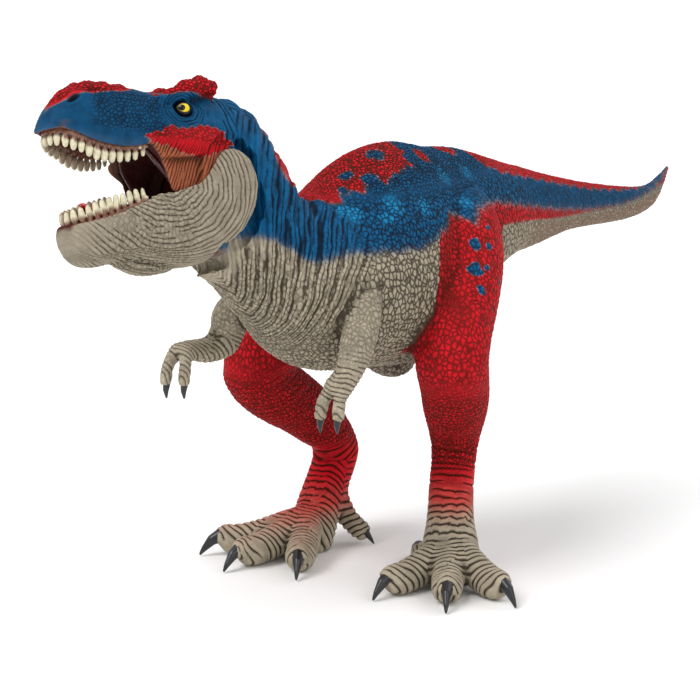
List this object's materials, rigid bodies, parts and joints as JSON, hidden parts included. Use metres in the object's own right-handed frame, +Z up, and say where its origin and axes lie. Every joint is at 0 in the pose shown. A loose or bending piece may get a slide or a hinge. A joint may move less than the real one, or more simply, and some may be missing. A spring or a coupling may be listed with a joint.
{
  "type": "toy dinosaur figure",
  "caption": "Standing two-legged meat-eating dinosaur figure with small arms, long tail and an open mouth whose lower jaw swings on a pin.",
  "frame": {"origin": "middle of the bounding box on the ground plane under the feet", "axes": "-Y towards the nose, +Y along the tail, +X to the figure's left, +Z up"},
  "size_m": [0.0936, 0.2814, 0.1349],
  "materials": {
    "skin_trunk": "painted, satin",
    "skin_tail": "painted, satin",
    "skin_head": "painted, satin",
    "skin_jaw": "painted, satin",
    "skin_legs": "painted, satin",
    "skin_arms": "painted, satin",
    "teeth": "satin",
    "tongue": "gloss",
    "mouth": "satin",
    "eyes": "gloss",
    "pin": "satin",
    "toe_claws": "gloss",
    "finger_claws": "gloss"
  },
  "bodies": {
    "figure": {"torso": "skin_trunk", "tail": "skin_tail", "head": "skin_head", "left_leg": "skin_legs", "right_leg": "skin_legs", "left_arm": "skin_arms", "right_arm": "skin_arms", "upper_tooth_strip": "teeth", "mouth_lining": "mouth", "left_eye": "eyes", "right_eye": "eyes", "jaw_pin": "pin", "left_inner_toe_claw": "toe_claws", "left_middle_toe_claw": "toe_claws", "left_outer_toe_claw": "toe_claws", "left_rear_toe_claw": "toe_claws", "left_inner_finger_claw": "finger_claws", "left_outer_finger_claw": "finger_claws", "right_inner_toe_claw": "toe_claws", "right_middle_toe_claw": "toe_claws", "right_outer_toe_claw": "toe_claws", "right_rear_toe_claw": "toe_claws", "right_inner_finger_claw": "finger_claws", "right_outer_finger_claw": "finger_claws"},
    "jaw": {"lower_jaw": "skin_jaw", "lower_tooth_strip": "teeth", "tongue": "tongue"}
  },
  "joints": [
    {"name": "jaw_hinge", "type": "hinge", "parent": "figure", "child": "jaw", "pos_m": [-0.01204, -0.09966, 0.1077], "axis": [0.9492, -0.1858, 0.2541], "range_deg": [-15, 2]}
  ]
}
